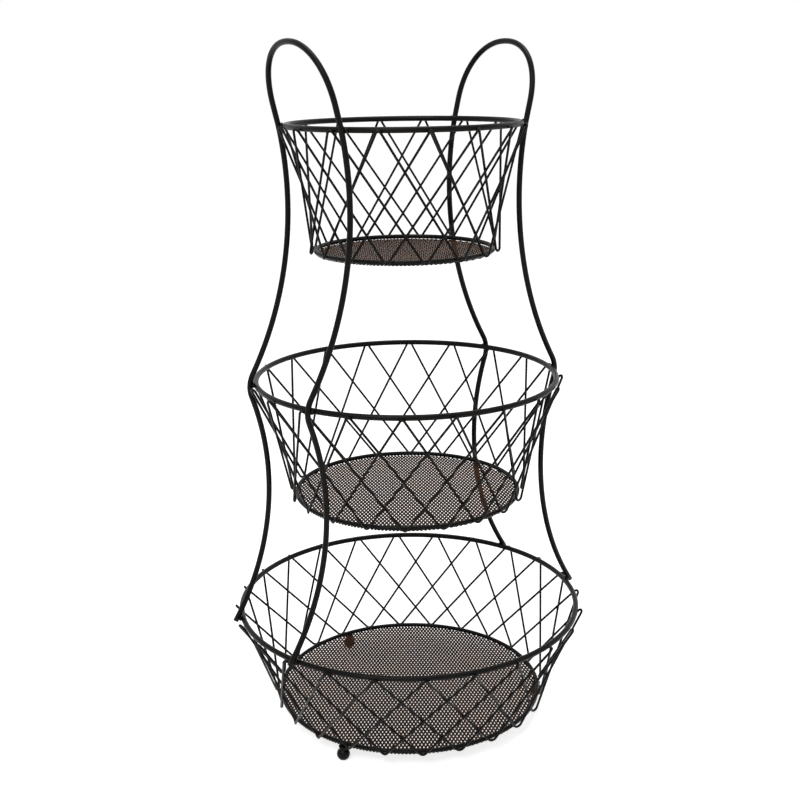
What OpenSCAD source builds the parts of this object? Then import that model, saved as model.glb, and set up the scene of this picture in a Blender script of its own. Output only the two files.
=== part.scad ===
// Three round wire baskets, one above the other, welded between two side
// frames whose tops are loop handles. It stands free on three ball feet.
// Millimetres, +Z up, origin on the surface below the centre of the baskets,
// with the two handles along X. Wire positions are those of the wire's centre.

/* [Wire] */
// Diameter of the wire of the two side frames
frame_wire_d = 5; // [3:0.5:8]
// Diameter of the wire of the three top rims
rim_wire_d = 5; // [3:0.5:8]
// Diameter of the wire of the three base rings
base_wire_d = 4; // [3:0.5:7]
// Diameter of the woven side wires
weave_wire_d = 2.2; // [1.6:0.2:3.6]
// Gap left at each weld, so that welded pieces touch and do not overlap
weld_gap = 0.1; // [0.05:0.05:0.3]

/* [Top basket] */
// Radius of the rim
top_rim_r = 102; // [90:1:125]
// Radius of the base ring
top_base_r = 79; // [65:1:88]
// Height of the rim above the base ring
top_depth = 108.7; // [90:0.1:130]
// Number of peaks in the weave
top_peaks = 16; // [12:4:20]
// Height of the top base ring above the middle rim
top_lift = 116.9; // [100:0.1:140]

/* [Middle basket] */
// Radius of the rim
mid_rim_r = 137; // [128:1:150]
// Radius of the base ring
mid_base_r = 103.3; // [90:0.1:115]
// Height of the rim above the base ring
mid_depth = 108.9; // [90:0.1:130]
// Number of peaks in the weave
mid_peaks = 20; // [16:4:24]
// Height of the middle base ring above the bottom rim
mid_lift = 112.8; // [100:0.1:140]

/* [Bottom basket] */
// Radius of the rim
bottom_rim_r = 160; // [152:1:180]
// Radius of the base ring
bottom_base_r = 125; // [110:1:140]
// Height of the rim above the base ring
bottom_depth = 90.7; // [75:0.1:120]
// Number of peaks in the weave
bottom_peaks = 24; // [20:4:28]

/* [Weave] */
// Gap between the inner and outer layer of strands where they cross
layer_gap = 0.4; // [0.2:0.1:1]
// Turn of the first peak from the handle on the -X side, in degrees
weave_turn = 1; // [0:0.5:2]
// Height above the rim at which two strands' straight lines would meet
peak_rise = 2; // [1:0.5:4]
// Depth below the base ring at which two strands' straight lines would meet
valley_drop = 4; // [2:0.5:5]
// Length of strand that each bend takes up on either side
bend_reach = 7; // [5:0.5:10]

/* [Side frames] */
// Distance between the two legs of one frame
leg_spread = 106; // [90:1:120]
// Radius of the leg's sweep between the bottom and middle rims
lower_sweep_r = 238; // [200:1:320]
// Radius of the leg's sweep between the middle and top rims
upper_sweep_r = 303; // [260:1:400]
// Length of leg that the bend at the middle rim takes up on either side
kink_reach = 13; // [8:1:20]
// Length of leg below the bottom rim
leg_tail = 2; // [1:0.5:3]
// Clearance between leg and rim, filled by the weld
leg_gap = 0.6; // [0.3:0.1:0.9]
// Height of the loop handles above the top rim
handle_rise = 68.6; // [55:0.1:90]
// Height of the rounded part of the loop
arch_rise = 52; // [40:1:54]
// Outward lean of the loop in millimetres per millimetre of height
handle_lean = 0.25; // [0.1:0.01:0.4]
// Squareness of the loop's arch, where 2 is half an ellipse
arch_fullness = 2.15; // [2:0.05:3]

/* [Floors] */
// Thickness of the mesh
mesh_t = 0.8; // [0.6:0.1:1.5]
// Width of one mesh opening, bar included, along X
mesh_pitch = 24; // [20:1:36]
// Distance between rows of mesh openings
mesh_row = 14.5; // [12:0.5:22]
// Width of the bars between openings
mesh_bar = 3; // [2:0.5:5]
// Width of the whole band at the mesh's edge
mesh_border = 5; // [4:0.5:10]
// Overhang of the mesh beyond the centre line of the base ring
mesh_lap = 1; // [0:0.5:1.5]
// Height of the floor inside the ring above its pressed edge under the ring
floor_step = 0.2; // [0.1:0.1:0.4]

/* [Feet] */
// Diameter of a ball foot
foot_ball_d = 12; // [10:0.5:18]
// Diameter of the neck above the ball
foot_neck_d = 8; // [5:0.5:10]
// Height of a foot from the surface to the mesh
foot_h = 13.6; // [13:0.1:24]
// Depth of the flat under the ball
foot_flat = 0.5; // [0.3:0.1:1]
// Direction of the first foot, counter-clockwise from +X, in degrees
foot_turn = 207.5; // [180:0.5:240]

/* [Hidden] */

$fn = 96;
wire_sides = 8;
frame_sides = 12;
bend_steps = 5;
sweep_steps = 14;
kink_steps = 6;
arch_steps = 22;
foot_count = 3;
wires_per_basket = 4;
span_peaks = 2;
paint = [0.10, 0.09, 0.085];
mesh_paint = [0.42, 0.39, 0.36];
floor_clear = 0.3;

// A basket is [rim radius, base ring radius, base ring height, depth, peaks]
bottom_base_z = foot_h + mesh_t + weld_gap + base_wire_d / 2;
bottom_rim_z = bottom_base_z + bottom_depth;
mid_base_z = bottom_rim_z + mid_lift;
mid_rim_z = mid_base_z + mid_depth;
top_base_z = mid_rim_z + top_lift;
top_rim_z = top_base_z + top_depth;
TOP = [top_rim_r, top_base_r, top_base_z, top_depth, top_peaks];
MIDDLE = [mid_rim_r, mid_base_r, mid_base_z, mid_depth, mid_peaks];
BOTTOM = [bottom_rim_r, bottom_base_r, bottom_base_z, bottom_depth, bottom_peaks];

function unit(v) = v / norm(v);
function polar(r, a, z) = [r * cos(a), r * sin(a), z];

// A tube round a path: one ring of points at each path point, square to the
// path's direction there, with the reference direction refs[i] as its start
function path_dir(path, i, closed) =
    let (n = len(path))
    closed ? unit(unit(path[(i + 1) % n] - path[i]) + unit(path[i] - path[(i + n - 1) % n]))
    : i == 0 ? unit(path[1] - path[0])
    : i == n - 1 ? unit(path[n - 1] - path[n - 2])
    : unit(unit(path[i + 1] - path[i]) + unit(path[i] - path[i - 1]));

function tube_ring(p, t, ref, d, sides) =
    let (u = unit(ref - (ref * t) * t), v = cross(t, u))
    [for (k = [0 : sides - 1]) p + d / 2 * (cos(k * 360 / sides) * u + sin(k * 360 / sides) * v)];

module tube(path, refs, d, sides, closed) {
    n = len(path);
    points = [for (i = [0 : n - 1]) each tube_ring(path[i], path_dir(path, i, closed), refs[i], d, sides)];
    bands = closed ? n : n - 1;
    walls = [
        for (i = [0 : bands - 1], k = [0 : sides - 1])
            let (a = i * sides, b = ((i + 1) % n) * sides, m = (k + 1) % sides)
            each [[a + k, b + k, b + m], [a + k, b + m, a + m]]
    ];
    ends = closed ? [] : [
        for (k = [1 : sides - 2])
            each [[0, k, k + 1], [(n - 1) * sides, (n - 1) * sides + k + 1, (n - 1) * sides + k]]
    ];
    polyhedron(points, concat(walls, ends));
}

// The weave. Each wire runs down to a valley two places on, and up to a peak
// two more on. Strands that run down are the inner layer and strands that
// run up are the outer layer, and each strand is straight.
layer_step = weave_wire_d + layer_gap;
function place_angle(b, k) = 180 + weave_turn + k * 360 / b[4];
function rim_seat() = (rim_wire_d + weave_wire_d) / 2 + weld_gap;
function base_seat() = (base_wire_d + weave_wire_d) / 2 + weld_gap;
// Inward slope of a strand where it leaves the rim, and outward slope where
// it leaves the base ring, per millimetre of height
function rim_slope(b) = (b[0] + rim_seat() - (b[1] + base_seat()) * cos(span_peaks * 360 / b[4])) / b[3];
function base_slope(b) = ((b[0] + rim_seat()) * cos(span_peaks * 360 / b[4]) - b[1] - base_seat()) / b[3];
function peak_r(b) = b[0] + rim_seat() * sqrt(1 + pow(rim_slope(b), 2)) + peak_rise * rim_slope(b);
function valley_r(b) = b[1] + base_seat() * sqrt(1 + pow(base_slope(b), 2)) - valley_drop * base_slope(b);
function peak(b, k, layer) = polar(peak_r(b) + layer * layer_step, place_angle(b, k), b[2] + b[3] + peak_rise);
function valley(b, k, layer) = polar(valley_r(b) + layer * layer_step, place_angle(b, k), b[2] - valley_drop);

// A smooth bend from the line a-b1 to the line b2-c, near b1 and b2
function bend(a, b1, b2, c) =
    let (p = b1 + bend_reach * unit(a - b1), q = b2 + bend_reach * unit(c - b2), m = (b1 + b2) / 2)
    [for (i = [0 : bend_steps]) let (t = i / bend_steps) pow(1 - t, 2) * p + 2 * t * (1 - t) * m + t * t * q];

function weave_path(b, w) = [
    for (j = [0 : b[4] / wires_per_basket - 1])
        let (k = w + j * wires_per_basket, s = span_peaks)
        each concat(
            bend(valley(b, k - s, 1), peak(b, k, 1), peak(b, k, 0), valley(b, k + s, 0)),
            bend(peak(b, k, 0), valley(b, k + s, 0), valley(b, k + s, 1), peak(b, k + 2 * s, 1))
        )
];

module weave_wire(b, w) {
    path = weave_path(b, w);
    refs = [for (p = path) unit([p[0], p[1], 0])];
    color(paint) tube(path, refs, weave_wire_d, wire_sides, true);
}

// A round wire ring, lying flat
module ring(r, z, d) {
    color(paint) translate([0, 0, z]) rotate_extrude() translate([r, 0]) circle(d / 2);
}

// A mesh floor with coarse diamond openings, welded under its base ring
module mesh_floor(b) {
    r = b[1] + mesh_lap;
    hole_limit = r - mesh_border;
    half_x = mesh_pitch / 2;
    half_y = mesh_row;
    open = 1 - mesh_bar / 2 * norm([half_x, half_y]) / (half_x * half_y);
    rows = ceil(r / mesh_row);
    columns = ceil(r / mesh_pitch);
    centres = [
        for (j = [-rows : rows], i = [-columns : columns])
            let (x = (i + (j % 2 == 0 ? 0.5 : 0)) * mesh_pitch, y = j * mesh_row)
            if (max(norm([abs(x) + half_x * open, y]), norm([x, abs(y) + half_y * open])) < hole_limit) [x, y]
    ];
    color(mesh_paint)
    translate([0, 0, b[2] - base_wire_d / 2 - weld_gap - mesh_t])
    difference() {
        linear_extrude(mesh_t + floor_step)
        difference() {
            circle(r);
            for (c = centres)
                translate(c)
                polygon([[half_x * open, 0], [0, half_y * open], [-half_x * open, 0], [0, -half_y * open]]);
        }
        translate([0, 0, mesh_t])
        linear_extrude(1)
        difference() {
            circle(r + 1);
            circle(b[1] - base_wire_d / 2 - floor_clear);
        }
    }
}

// Side frames. The leg touches the three rims from outside, in the plane
// of the leg, and sweeps inwards between them along an arc.
leg_y = leg_spread / 2;
leg_seat = (rim_wire_d + frame_wire_d) / 2 + leg_gap;
function leg_x(rim_r) = sqrt(pow(rim_r + leg_seat, 2) - pow(leg_y, 2));
// Centre of the circle of radius r through p and q, on their outer side
function sweep_centre(p, q, r) =
    let (m = (p + q) / 2, d = q - p, out = unit([d[1], -d[0]]))
    m + sqrt(r * r - d * d / 4) * (out[0] > 0 ? out : -out);
function angle_of(v) = let (a = atan2(v[1], v[0])) a < 0 ? a + 360 : a;
function sweep_points(c, r, from, to, steps) =
    [for (i = [0 : steps]) let (a = from + (to - from) * i / steps) c + r * [cos(a), sin(a)]];

lower_lean = 0.6;
foot_point = [leg_x(bottom_rim_r) + leg_seat * (sqrt(1 + pow(lower_lean, 2)) - 1), bottom_rim_z];
kink_depth = 0.23 * kink_reach;
kink_point = [leg_x(mid_rim_r) + kink_depth, mid_rim_z];
top_point = [leg_x(top_rim_r), top_rim_z];

function side_profile() =
    let (
        c1 = sweep_centre(foot_point, kink_point, lower_sweep_r),
        c2 = sweep_centre(kink_point, top_point, upper_sweep_r),
        a0 = angle_of(foot_point - c1),
        a1 = angle_of(kink_point - c1),
        a2 = angle_of(kink_point - c2),
        a3 = angle_of(top_point - c2),
        low = sweep_points(c1, lower_sweep_r, a0 + leg_tail / lower_sweep_r * 180 / PI,
                           a1 + kink_reach / lower_sweep_r * 180 / PI, sweep_steps),
        high = sweep_points(c2, upper_sweep_r, a2 - kink_reach / upper_sweep_r * 180 / PI, a3, sweep_steps),
        p = low[sweep_steps],
        q = high[0],
        kink = [for (i = [1 : kink_steps - 1])
            let (t = i / kink_steps) pow(1 - t, 2) * p + 2 * t * (1 - t) * kink_point + t * t * q]
    )
    concat(low, kink, high);

function handle_x(z) = top_point[0] + handle_lean * (z - top_rim_z);
arch_z = top_rim_z + handle_rise - arch_rise;
function arch_point(i) =
    let (a = 180 * i / arch_steps, e = 2 / arch_fullness,
         y = leg_y * sign(cos(a)) * pow(abs(cos(a)), e), z = arch_z + arch_rise * pow(sin(a), e))
    [handle_x(z), y, z];

function frame_path() =
    let (
        leg = [for (p = side_profile()) [p[0], leg_y, p[1]]],
        back = [for (i = [len(leg) - 1 : -1 : 0]) [leg[i][0], -leg_y, leg[i][2]]],
        loop = [for (i = [0 : arch_steps]) arch_point(i)]
    )
    concat(leg, loop, back);

module handle_frame(side) {
    path = [for (p = frame_path()) [side * p[0], p[1], p[2]]];
    refs = [for (p = path) [1, 0, 0]];
    color(paint) tube(path, refs, frame_wire_d, frame_sides, false);
}

// A ball foot on a short neck, with a small flat to stand on
module ball_foot(k) {
    centre_z = foot_ball_d / 2 - foot_flat;
    color(paint)
    translate(polar(bottom_base_r, foot_turn + k * 360 / foot_count, 0))
    union() {
        difference() {
            translate([0, 0, centre_z]) sphere(d = foot_ball_d);
            translate([-foot_ball_d, -foot_ball_d, -foot_ball_d]) cube([2 * foot_ball_d, 2 * foot_ball_d, foot_ball_d]);
        }
        translate([0, 0, centre_z]) cylinder(h = foot_h - centre_z, d = foot_neck_d);
    }
}

module left_handle_frame() { handle_frame(-1); }
module right_handle_frame() { handle_frame(1); }

left_handle_frame();
right_handle_frame();
ring(top_rim_r, top_rim_z, rim_wire_d);  // top_rim
ring(top_base_r, top_base_z, base_wire_d);  // top_base_ring
mesh_floor(TOP);  // top_mesh_floor
weave_wire(TOP, 0);  // top_weave_wire_1
weave_wire(TOP, 1);  // top_weave_wire_2
weave_wire(TOP, 2);  // top_weave_wire_3
weave_wire(TOP, 3);  // top_weave_wire_4
ring(mid_rim_r, mid_rim_z, rim_wire_d);  // middle_rim
ring(mid_base_r, mid_base_z, base_wire_d);  // middle_base_ring
mesh_floor(MIDDLE);  // middle_mesh_floor
weave_wire(MIDDLE, 0);  // middle_weave_wire_1
weave_wire(MIDDLE, 1);  // middle_weave_wire_2
weave_wire(MIDDLE, 2);  // middle_weave_wire_3
weave_wire(MIDDLE, 3);  // middle_weave_wire_4
ring(bottom_rim_r, bottom_rim_z, rim_wire_d);  // bottom_rim
ring(bottom_base_r, bottom_base_z, base_wire_d);  // bottom_base_ring
mesh_floor(BOTTOM);  // bottom_mesh_floor
weave_wire(BOTTOM, 0);  // bottom_weave_wire_1
weave_wire(BOTTOM, 1);  // bottom_weave_wire_2
weave_wire(BOTTOM, 2);  // bottom_weave_wire_3
weave_wire(BOTTOM, 3);  // bottom_weave_wire_4
ball_foot(0);  // ball_foot_1
ball_foot(1);  // ball_foot_2
ball_foot(2);  // ball_foot_3
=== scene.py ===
from math import atan2, cos, pi, radians, sin, sqrt

import bpy
from mathutils import Matrix, Vector


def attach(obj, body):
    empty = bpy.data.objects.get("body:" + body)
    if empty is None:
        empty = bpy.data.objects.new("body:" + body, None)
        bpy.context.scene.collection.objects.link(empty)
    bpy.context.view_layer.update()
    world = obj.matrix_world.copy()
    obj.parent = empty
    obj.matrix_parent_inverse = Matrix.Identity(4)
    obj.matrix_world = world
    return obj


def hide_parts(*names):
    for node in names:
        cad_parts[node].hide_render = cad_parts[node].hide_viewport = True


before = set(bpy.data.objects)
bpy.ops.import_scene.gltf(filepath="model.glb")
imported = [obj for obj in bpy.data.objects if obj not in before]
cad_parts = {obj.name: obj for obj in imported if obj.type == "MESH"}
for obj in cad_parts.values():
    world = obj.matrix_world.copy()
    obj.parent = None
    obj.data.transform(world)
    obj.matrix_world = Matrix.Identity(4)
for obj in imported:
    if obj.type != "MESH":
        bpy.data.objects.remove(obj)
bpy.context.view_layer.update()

MM = 0.001

# Sizes of the stand, in millimetres. Wire positions are wire centres.
# Wires, and how the woven ones turn above the rim and below the base ring
FRAME_WIRE = 5.0
RIM_WIRE = 5.0
BASE_WIRE = 4.0
WEAVE_WIRE = 2.2
WELD_GAP = 0.1
LAYER_GAP = 0.4
LAYER_STEP = WEAVE_WIRE + LAYER_GAP
WEAVE_TURN = radians(1)
PEAK_RISE = 1.2
VALLEY_DROP = 2.6
BEND_REACH = 4.6
SPAN = 2
WIRES_PER_BASKET = 4

# Mesh floors
MESH_THICK = 0.8
MESH_LAP = 0.4

# Side frames
LEG_Y = 53.0
LEG_GAP = 0.6
LEG_SEAT = (RIM_WIRE + FRAME_WIRE) / 2 + LEG_GAP
LOWER_SWEEP = 238.0
UPPER_SWEEP = 303.0
KINK_REACH = 13.0
KINK_DEPTH = 0.23 * KINK_REACH
LEG_TAIL = 2.0
HANDLE_RISE = 68.6
ARCH_RISE = 52.0
HANDLE_LEAN = 0.25
ARCH_FULLNESS = 2.15
LOWER_LEAN = 0.6

# Ball feet
FOOT_BALL = 12.0
FOOT_NECK = 8.0
FOOT_HEIGHT = 13.6
FOOT_FLAT = 0.5
FOOT_TURN = radians(207.5)
FOOT_COUNT = 3
# Where the ball runs into the neck, the neck's waist, and the collar under the mesh floor
NECK_START = radians(52)
WAIST_INSET = 0.35
WAIST_DROP = 2.2
COLLAR_DROP = 0.6

# Weld beads: half sizes towards the rim, along it and upwards
BEAD_DEEP = 2.0
BEAD_LONG = 3.6
BEAD_HIGH = 2.7

# Points round and along what is round or bent
RING_STEPS = 192
THICK_WIRE_SIDES = 20
THIN_WIRE_SIDES = 14
BEND_STEPS = 12
SWEEP_STEPS = 40
KINK_STEPS = 14
ARCH_STEPS = 72
FOOT_STEPS = 32
BALL_STEPS = 20
BEAD_RINGS = 8
BEAD_STEPS = 14


class Basket:
    """One basket's driving sizes and what follows from them."""

    def __init__(self, name, rim_r, base_r, base_z, depth, peaks):
        self.name = name
        self.rim_r = rim_r
        self.base_r = base_r
        self.base_z = base_z
        self.depth = depth
        self.peaks = peaks
        self.rim_z = base_z + depth
        self.floor_z = base_z - BASE_WIRE / 2 - WELD_GAP - MESH_THICK
        turn = cos(SPAN * 2 * pi / peaks)
        rim_seat = (RIM_WIRE + WEAVE_WIRE) / 2 + WELD_GAP
        base_seat = (BASE_WIRE + WEAVE_WIRE) / 2 + WELD_GAP
        rim_slope = (rim_r + rim_seat - (base_r + base_seat) * turn) / depth
        base_slope = ((rim_r + rim_seat) * turn - base_r - base_seat) / depth
        self.peak_r = rim_r + rim_seat * sqrt(1 + rim_slope ** 2) + PEAK_RISE * rim_slope
        self.valley_r = base_r + base_seat * sqrt(1 + base_slope ** 2) - VALLEY_DROP * base_slope

    def place(self, r, k, z):
        a = pi + WEAVE_TURN + k * 2 * pi / self.peaks
        return Vector((r * cos(a), r * sin(a), z))

    def peak(self, k, layer):
        return self.place(self.peak_r + layer * LAYER_STEP, k, self.rim_z + PEAK_RISE)

    def valley(self, k, layer):
        return self.place(self.valley_r + layer * LAYER_STEP, k, self.base_z - VALLEY_DROP)


# Heights from one basket's rim to the base ring of the basket above it
MIDDLE_LIFT = 112.8
TOP_LIFT = 116.9
BOTTOM_BASE_Z = FOOT_HEIGHT + MESH_THICK + WELD_GAP + BASE_WIRE / 2
BOTTOM = Basket("bottom", rim_r=160.0, base_r=125.0, base_z=BOTTOM_BASE_Z, depth=90.7, peaks=24)
MIDDLE = Basket("middle", rim_r=137.0, base_r=103.3, base_z=BOTTOM.rim_z + MIDDLE_LIFT, depth=108.9, peaks=20)
TOP = Basket("top", rim_r=102.0, base_r=79.0, base_z=MIDDLE.rim_z + TOP_LIFT, depth=108.7, peaks=16)
BASKETS = (BOTTOM, MIDDLE, TOP)


# Materials
def linear(hex_colour):
    """Linear RGBA from an sRGB hex colour."""
    channels = [int(hex_colour[i:i + 2], 16) / 255 for i in (1, 3, 5)]
    return [c / 12.92 if c <= 0.04045 else ((c + 0.055) / 1.055) ** 2.4 for c in channels] + [1.0]


def add_node(tree, kind, settings=None, links=None):
    """Adds one node, with its settings or input values, and its incoming links."""
    node = tree.nodes.new(kind)
    for key, value in (settings or {}).items():
        if isinstance(key, int) or key in node.inputs:
            node.inputs[key].default_value = value
        else:
            setattr(node, key, value)
    for key, socket in (links or {}).items():
        tree.links.new(socket, node.inputs[key])
    return node


def new_material(name):
    material = bpy.data.materials.new(name)
    material.use_nodes = True
    material.node_tree.nodes.clear()
    return material, material.node_tree


# Powder coat is a polyester. A matting agent dulls it, and 0.5 would be its shine without one.
COAT_IOR = 1.5
SATIN_SHINE = 0.11
MATT_SHINE = 0.04
# The brown tone drifts along the wire every 25 mm or so
TONE_DRIFT = 25.0
DARK_UP_TO = 0.35
BROWN_FROM = 0.70
# Orange peel of the coat, 1.2 mm across
ORANGE_PEEL = 1.2
PEEL_DEPTH = 0.08
PEEL_STRENGTH = 0.25
# The coat is a little smoother where it is dark, and rougher where it is brown
SMOOTHER = 0.06
ROUGHER = 0.08
# Most of the drift's noise lies between these
NOISE_LOW = 0.3
NOISE_HIGH = 0.7


def powder_coated_steel(name, low, high, roughness, shine):
    """Powder coat sprayed and baked on steel: nearly black, with a brown tone and a faint orange peel."""
    material, tree = new_material(name)
    place = add_node(tree, "ShaderNodeTexCoord").outputs["Object"]
    drift = add_node(tree, "ShaderNodeTexNoise",
                     {"Scale": 1 / (TONE_DRIFT * MM), "Detail": 2.0},
                     {"Vector": place})
    tone = add_node(tree, "ShaderNodeValToRGB", links={"Fac": drift.outputs["Fac"]})
    dark, brown = tone.color_ramp.elements
    dark.position = DARK_UP_TO
    dark.color = linear(low)
    brown.position = BROWN_FROM
    brown.color = linear(high)
    peel = add_node(tree, "ShaderNodeTexNoise",
                    {"Scale": 1 / (ORANGE_PEEL * MM), "Detail": 1.0},
                    {"Vector": place})
    bump = add_node(tree, "ShaderNodeBump",
                    {"Strength": PEEL_STRENGTH, "Distance": PEEL_DEPTH * MM},
                    {"Height": peel.outputs["Fac"]})
    gloss = add_node(tree, "ShaderNodeMapRange",
                     {"From Min": NOISE_LOW, "From Max": NOISE_HIGH,
                      "To Min": roughness - SMOOTHER, "To Max": roughness + ROUGHER},
                     {"Value": drift.outputs["Fac"]})
    shader = add_node(tree, "ShaderNodeBsdfPrincipled",
                      {"IOR": COAT_IOR, "Specular IOR Level": shine},
                      {"Base Color": tone.outputs["Color"], "Roughness": gloss.outputs["Result"],
                       "Normal": bump.outputs["Normal"]})
    add_node(tree, "ShaderNodeOutputMaterial", links={"Surface": shader.outputs["BSDF"]})
    return material


# Satin coat on the drawn wire: black to the eye, with a trace of brown
WIRE_COAT = powder_coated_steel("bronze_black_powder_coat", "#050403", "#0f0b09", 0.32, SATIN_SHINE)
# Matt coat on the sheet: the mesh looks brown against the black wires
MESH_COAT = powder_coated_steel("mesh_powder_coat", "#29150a", "#4c321e", 0.55, MATT_SHINE)
# Smoothest coat, on the turned balls: black, with a small clear highlight
FOOT_COAT = powder_coated_steel("foot_gloss_black", "#060505", "#0e0c0b", 0.28, SATIN_SHINE)


# Mesh helpers
def make_piece(name, points, faces, material, slot, *nodes):
    """A mesh from points in millimetres, which rides on the stand and stands in for CAD nodes."""
    mesh = bpy.data.meshes.new(name)
    mesh.from_pydata([tuple(c * MM for c in p) for p in points], [], faces)
    mesh.validate()
    for polygon in mesh.polygons:
        polygon.use_smooth = len(polygon.vertices) == 4
    mesh.materials.append(material)
    piece = bpy.data.objects.new(name, mesh)
    bpy.context.scene.collection.objects.link(piece)
    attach(piece, "root")
    if nodes:
        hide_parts(*nodes)
    return piece


def ring_band(a, b, sides):
    """Faces between two rings of points, whose first points are a and b."""
    return [(a + k, a + (k + 1) % sides, b + (k + 1) % sides, b + k) for k in range(sides)]


def tube(path, diameter, sides, closed, reference):
    """Points and faces of a round tube along a path; reference(p) sets where its seam lies."""
    count = len(path)
    points = []
    for i, p in enumerate(path):
        before = path[i - 1] if closed or i else p
        after = path[(i + 1) % count] if closed or i < count - 1 else p
        along = ((p - before).normalized() + (after - p).normalized()).normalized()
        u = reference(p)
        u = (u - u.dot(along) * along).normalized()
        v = along.cross(u)
        for k in range(sides):
            a = 2 * pi * k / sides
            points.append(p + diameter / 2 * (cos(a) * u + sin(a) * v))
    faces = []
    for i in range(count if closed else count - 1):
        faces += ring_band(i * sides, (i + 1) % count * sides, sides)
    if not closed:
        last = (count - 1) * sides
        faces.append(tuple(range(sides - 1, -1, -1)))
        faces.append(tuple(last + k for k in range(sides)))
    return points, faces


def outward(p):
    """The direction from the stand's axis to p, seen from above."""
    return Vector((p[0], p[1], 0)).normalized()


def bend(a, b1, b2, c):
    """A smooth bend between the straight lines a-b1 and b2-c."""
    start = b1 + BEND_REACH * (a - b1).normalized()
    end = b2 + BEND_REACH * (c - b2).normalized()
    middle = (b1 + b2) / 2
    ts = [i / BEND_STEPS for i in range(BEND_STEPS + 1)]
    return [(1 - t) ** 2 * start + 2 * t * (1 - t) * middle + t * t * end for t in ts]


# Rims and base rings
def make_ring(name, radius, z, wire):
    angles = [2 * pi * i / RING_STEPS for i in range(RING_STEPS)]
    path = [Vector((radius * cos(a), radius * sin(a), z)) for a in angles]
    points, faces = tube(path, wire, THICK_WIRE_SIDES, True, outward)
    return make_piece("round_" + name, points, faces, WIRE_COAT, "wire", name)


# The woven side wires
def make_weave_wire(basket, w):
    """One closed zigzag. Strands that run down lie inside, and strands that run up lie outside."""
    path = []
    for j in range(basket.peaks // WIRES_PER_BASKET):
        k = w + j * WIRES_PER_BASKET
        path += bend(basket.valley(k - SPAN, 1), basket.peak(k, 1),
                     basket.peak(k, 0), basket.valley(k + SPAN, 0))
        path += bend(basket.peak(k, 0), basket.valley(k + SPAN, 0),
                     basket.valley(k + SPAN, 1), basket.peak(k + 2 * SPAN, 1))
    points, faces = tube(path, WEAVE_WIRE, THIN_WIRE_SIDES, True, outward)
    node = f"{basket.name}_weave_wire_{w + 1}"
    return make_piece("bent_" + node, points, faces, WIRE_COAT, "wire", node)


# Mesh floors of expanded metal: two families of flat strands that cross in
# long diamonds, cut off at the edge as the real sheet is
MESH_SHORT_WAY = 3.4
MESH_LONG_WAY = 8.8
MESH_STRAND = 1.65
MESH_STRAND_THICK = 0.4
MESH_DIRECTION = radians(-33.5)
# A strand at the very edge is left out if half its length is less than this
MESH_SHORTEST_HALF = 1
# Corners of a strand's section, as shares of its width and thickness
STRAND_CORNERS = ((-0.5, 0), (0.5, 0), (0.5, 1), (-0.5, 1))


def make_mesh_floor(basket):
    radius = basket.base_r + MESH_LAP
    side = Vector((cos(MESH_DIRECTION), sin(MESH_DIRECTION), 0))
    deep = Vector((-side[1], side[0], 0))
    points, faces = [], []
    for family, lift in ((1, 0.0), (-1, MESH_THICK - MESH_STRAND_THICK)):
        along = (side * MESH_SHORT_WAY / 2 * family + deep * MESH_LONG_WAY / 2).normalized()
        across = Vector((-along[1], along[0], 0))
        step = abs((side * MESH_SHORT_WAY).dot(across))
        for i in range(-int(radius / step), int(radius / step) + 1):
            offset = i * step
            reach = sqrt(max(radius ** 2 - (abs(offset) + MESH_STRAND / 2) ** 2, 0))
            if reach < MESH_SHORTEST_HALF:
                continue
            s = len(points)
            for end in (-reach, reach):
                for w, h in STRAND_CORNERS:
                    p = along * end + across * (offset + w * MESH_STRAND)
                    points.append(Vector((p[0], p[1], basket.floor_z + lift + h * MESH_STRAND_THICK)))
            faces += [(s, s + 1, s + 5, s + 4), (s + 1, s + 2, s + 6, s + 5), (s + 2, s + 3, s + 7, s + 6),
                      (s + 3, s, s + 4, s + 7), (s + 3, s + 2, s + 1, s), (s + 4, s + 5, s + 6, s + 7)]
    node = f"{basket.name}_mesh_floor"
    piece = make_piece("expanded_" + node, points, faces, MESH_COAT, "mesh", node)
    for polygon in piece.data.polygons:
        polygon.use_smooth = False
    return piece


# Side frames with their loop handles
def leg_x(rim_r):
    """Distance of a leg from the stand's middle plane where it touches a rim from outside."""
    return sqrt((rim_r + LEG_SEAT) ** 2 - LEG_Y ** 2)


def sweep(p, q, radius, start_gap, end_gap):
    """Points from p to q along a circle whose centre is outside the stand.

    The gaps are arc lengths left out at the ends, and a negative one goes on past its end.
    """
    middle, chord = (p + q) / 2, q - p
    out = Vector((chord[1], -chord[0])).normalized()
    if out[0] < 0:
        out = -out
    centre = middle + sqrt(radius ** 2 - chord.length ** 2 / 4) * out
    a0 = atan2(*(p - centre).yx) % (2 * pi) - start_gap / radius
    a1 = atan2(*(q - centre).yx) % (2 * pi) + end_gap / radius
    angles = [a0 + (a1 - a0) * i / SWEEP_STEPS for i in range(SWEEP_STEPS + 1)]
    return [centre + radius * Vector((cos(a), sin(a))) for a in angles]


def side_profile():
    """The leg from its lower end to the top rim, as points (x, height)."""
    foot = Vector((leg_x(BOTTOM.rim_r) + LEG_SEAT * (sqrt(1 + LOWER_LEAN ** 2) - 1), BOTTOM.rim_z))
    kink = Vector((leg_x(MIDDLE.rim_r) + KINK_DEPTH, MIDDLE.rim_z))
    top = Vector((leg_x(TOP.rim_r), TOP.rim_z))
    low = sweep(foot, kink, LOWER_SWEEP, -LEG_TAIL, KINK_REACH)
    high = sweep(kink, top, UPPER_SWEEP, KINK_REACH, 0)
    ts = [i / KINK_STEPS for i in range(1, KINK_STEPS)]
    curve = [(1 - t) ** 2 * low[-1] + 2 * t * (1 - t) * kink + t * t * high[0] for t in ts]
    return low + curve + high


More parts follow.
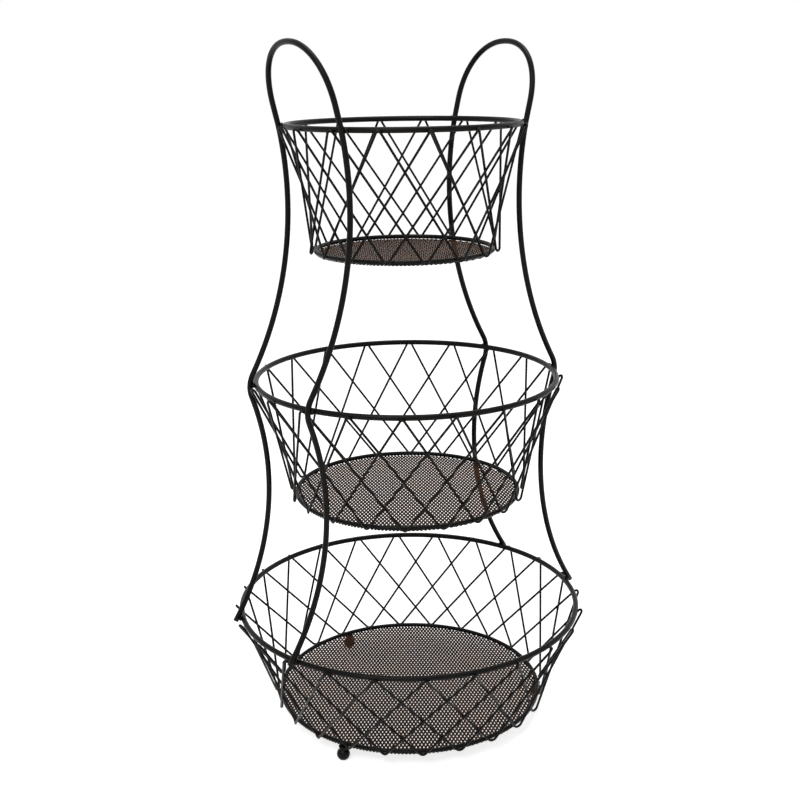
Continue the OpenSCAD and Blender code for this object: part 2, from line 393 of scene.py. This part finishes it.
def make_handle_frame(name, direction):
    """One wire: up one leg, over the loop and down the other leg."""
    profile = side_profile()
    top_x = leg_x(TOP.rim_r)
    loop = []
    for i in range(ARCH_STEPS + 1):
        a = pi * i / ARCH_STEPS
        c = cos(a)
        y = LEG_Y * (1 if c >= 0 else -1) * abs(c) ** (2 / ARCH_FULLNESS)
        z = TOP.rim_z + HANDLE_RISE - ARCH_RISE + ARCH_RISE * max(sin(a), 0) ** (2 / ARCH_FULLNESS)
        loop.append(Vector((top_x + HANDLE_LEAN * (z - TOP.rim_z), y, z)))
    leg = [Vector((p[0], LEG_Y, p[1])) for p in profile]
    back = [Vector((p[0], -LEG_Y, p[2])) for p in reversed(leg)]
    path = [Vector((direction * p[0], p[1], p[2])) for p in leg + loop + back]
    points, faces = tube(path, FRAME_WIRE, THICK_WIRE_SIDES, False, lambda p: Vector((1, 0, 0)))
    if direction < 0:
        faces = [tuple(reversed(f)) for f in faces]
    return make_piece("bent_" + name, points, faces, WIRE_COAT, "wire", name)


# Ball feet
def foot_outline():
    """The turned outline from the edge of the flat up to the collar, as points (radius, height)."""
    r = FOOT_BALL / 2
    centre_z = r - FOOT_FLAT
    flat_edge = atan2(-centre_z, sqrt(r ** 2 - centre_z ** 2))
    angles = [flat_edge + (NECK_START - flat_edge) * i / BALL_STEPS for i in range(BALL_STEPS + 1)]
    ball = [(r * cos(a), centre_z + r * sin(a)) for a in angles]
    neck_r = FOOT_NECK / 2
    return ball + [(neck_r - WAIST_INSET, FOOT_HEIGHT - WAIST_DROP), (neck_r, FOOT_HEIGHT - COLLAR_DROP),
                   (neck_r, FOOT_HEIGHT)]


def make_foot(k):
    a = FOOT_TURN + k * 2 * pi / FOOT_COUNT
    centre = Vector((BOTTOM.base_r * cos(a), BOTTOM.base_r * sin(a), 0))
    outline = foot_outline()
    steps = FOOT_STEPS
    round_turn = [2 * pi * i / steps for i in range(steps)]
    points = [centre]
    for radius, z in outline:
        points += [centre + Vector((radius * cos(t), radius * sin(t), z)) for t in round_turn]
    points.append(centre + Vector((0, 0, FOOT_HEIGHT)))
    last = len(points) - 1
    faces = [(0, 1 + (i + 1) % steps, 1 + i) for i in range(steps)]
    for b in range(1, last - steps, steps):
        faces += ring_band(b, b + steps, steps)
    b = last - steps
    faces += [(last, b + i, b + (i + 1) % steps) for i in range(steps)]
    return make_piece(f"turned_ball_foot_{k + 1}", points, faces, FOOT_COAT, "foot", f"ball_foot_{k + 1}")


# Weld beads where the legs meet the rims
def make_welds(name, direction):
    """Small rounded beads of weld metal, one at each crossing of a leg and a rim."""
    points, faces = [], []
    steps = BEAD_STEPS
    for basket in BASKETS:
        for y in (-LEG_Y, LEG_Y):
            reach = basket.rim_r + LEG_SEAT / 2
            x = direction * sqrt(reach ** 2 - y ** 2)
            u = outward((x, y))
            v = Vector((-u[1], u[0], 0))
            centre = Vector((x, y, basket.rim_z))
            start = len(points)
            for j in range(BEAD_RINGS + 1):
                t = pi * j / BEAD_RINGS
                for i in range(steps):
                    a = 2 * pi * i / steps
                    points.append(centre + BEAD_DEEP * sin(t) * cos(a) * u + BEAD_LONG * sin(t) * sin(a) * v
                                  + Vector((0, 0, BEAD_HIGH * cos(t))))
            for j in range(BEAD_RINGS):
                b = start + j * steps
                faces += ring_band(b, b + steps, steps)
    return make_piece(name, points, faces, WIRE_COAT, "wire")


for basket in BASKETS:
    make_ring(basket.name + "_rim", basket.rim_r, basket.rim_z, RIM_WIRE)
    make_ring(basket.name + "_base_ring", basket.base_r, basket.base_z, BASE_WIRE)
    make_mesh_floor(basket)
    for w in range(WIRES_PER_BASKET):
        make_weave_wire(basket, w)
make_handle_frame("left_handle_frame", -1)
make_handle_frame("right_handle_frame", 1)
make_welds("left_frame_welds", -1)
make_welds("right_frame_welds", 1)
for k in range(FOOT_COUNT):
    make_foot(k)


# Floor, backdrop and light, in metres and watts
FLOOR_HALF = 12.0
# How much brighter the floor looks than it is lit, so that it shows white
FLOOR_LIFT = 0.74
BACKDROP_WHITE = 1.0
WORLD_LEVEL = 0.30
STAND_MIDDLE = (0, 0, 0.3)
LAMP_WATTS = 22


def add_seen_directly(tree):
    """1 for what the camera sees, straight, in a reflection or through something, and else 0."""
    path = add_node(tree, "ShaderNodeLightPath")
    either = add_node(tree, "ShaderNodeMath", {"operation": "MAXIMUM"},
                      {0: path.outputs["Is Camera Ray"], 1: path.outputs["Is Glossy Ray"]})
    return add_node(tree, "ShaderNodeMath", {"operation": "MAXIMUM"},
                    {0: either.outputs[0], 1: path.outputs["Is Transmission Ray"]}).outputs[0]


def make_floor():
    mesh = bpy.data.meshes.new("floor")
    s = FLOOR_HALF
    mesh.from_pydata([(-s, -s, 0), (s, -s, 0), (s, s, 0), (-s, s, 0)], [], [(0, 1, 2, 3)])
    floor = bpy.data.objects.new("floor", mesh)
    bpy.context.scene.collection.objects.link(floor)
    material, tree = new_material("studio_paper")
    paper = add_node(tree, "ShaderNodeBsdfPrincipled",
                     {"Base Color": linear("#f6f6f5"), "Roughness": 0.9})
    # The camera and reflections see the paper as white, with the shadow kept
    seen = add_seen_directly(tree)
    lift = add_node(tree, "ShaderNodeMath", {"operation": "MULTIPLY", 1: FLOOR_LIFT}, {0: seen})
    glow = add_node(tree, "ShaderNodeEmission", {"Color": (1, 1, 1, 1)}, {"Strength": lift.outputs[0]})
    both = add_node(tree, "ShaderNodeAddShader", links={0: paper.outputs[0], 1: glow.outputs[0]})
    add_node(tree, "ShaderNodeOutputMaterial", links={"Surface": both.outputs[0]})
    mesh.materials.append(material)


def make_world():
    """Even light on the object, and a white backdrop for what the camera and reflections see."""
    world = bpy.data.worlds.new("studio")
    world.use_nodes = True
    tree = world.node_tree
    tree.nodes.clear()
    seen = add_seen_directly(tree)
    light = add_node(tree, "ShaderNodeBackground",
                     {"Color": (1, 1, 1, 1), "Strength": WORLD_LEVEL})
    backdrop = add_node(tree, "ShaderNodeBackground",
                        {"Color": (1, 1, 1, 1), "Strength": BACKDROP_WHITE})
    mix = add_node(tree, "ShaderNodeMixShader",
                   links={0: seen, 1: light.outputs[0], 2: backdrop.outputs[0]})
    add_node(tree, "ShaderNodeOutputWorld", links={"Surface": mix.outputs[0]})
    bpy.context.scene.world = world


def add_softbox(name, place, size):
    """A square soft lamp at place, aimed at the middle of the stand."""
    lamp = bpy.data.lights.new(name, "AREA")
    lamp.size = size
    lamp.energy = LAMP_WATTS
    softbox = bpy.data.objects.new(name, lamp)
    softbox.location = place
    aim = Vector(STAND_MIDDLE) - Vector(place)
    softbox.rotation_euler = aim.to_track_quat("-Z", "Y").to_euler()
    bpy.context.scene.collection.objects.link(softbox)


make_floor()
make_world()
add_softbox("key_softbox", (-1.6, -1.2, 2.2), 1.0)
add_softbox("top_softbox", (0.3, 0.2, 2.6), 1.2)

# Camera, as fitted to the six rings of the stand in the photograph, in metres.
# The lens and the sensor are in millimetres.
CAMERA_TURN = radians(-33.5)
CAMERA_DISTANCE = 1.0667
CAMERA_HEIGHT = 0.6045
CAMERA_YAW = radians(-0.31)
CAMERA_PITCH = radians(15.65)
CAMERA_ROLL = radians(-0.78)
CAMERA_LENS = 54
CAMERA_SENSOR = 36
CAMERA_NEAREST = 0.01


def make_camera():
    """Sets the camera up in front of the stand, then turns it round the stand's axis."""
    camera = bpy.data.cameras.new("camera")
    camera.sensor_width = CAMERA_SENSOR
    camera.lens = CAMERA_LENS
    camera.clip_start = CAMERA_NEAREST
    viewer = bpy.data.objects.new("camera", camera)
    forward = Vector((sin(CAMERA_YAW) * cos(CAMERA_PITCH),
                      cos(CAMERA_YAW) * cos(CAMERA_PITCH),
                      -sin(CAMERA_PITCH)))
    right = Vector((cos(CAMERA_YAW), -sin(CAMERA_YAW), 0))
    up = right.cross(forward)
    across = cos(CAMERA_ROLL) * right + sin(CAMERA_ROLL) * up
    rise = -sin(CAMERA_ROLL) * right + cos(CAMERA_ROLL) * up
    place = Vector((0, -CAMERA_DISTANCE, CAMERA_HEIGHT))
    own = Matrix((across, rise, -forward)).transposed().to_4x4()
    own.translation = place
    viewer.matrix_world = Matrix.Rotation(CAMERA_TURN, 4, "Z") @ own
    bpy.context.scene.collection.objects.link(viewer)
    bpy.context.scene.camera = viewer


make_camera()
bpy.context.scene.view_settings.view_transform = "Standard"
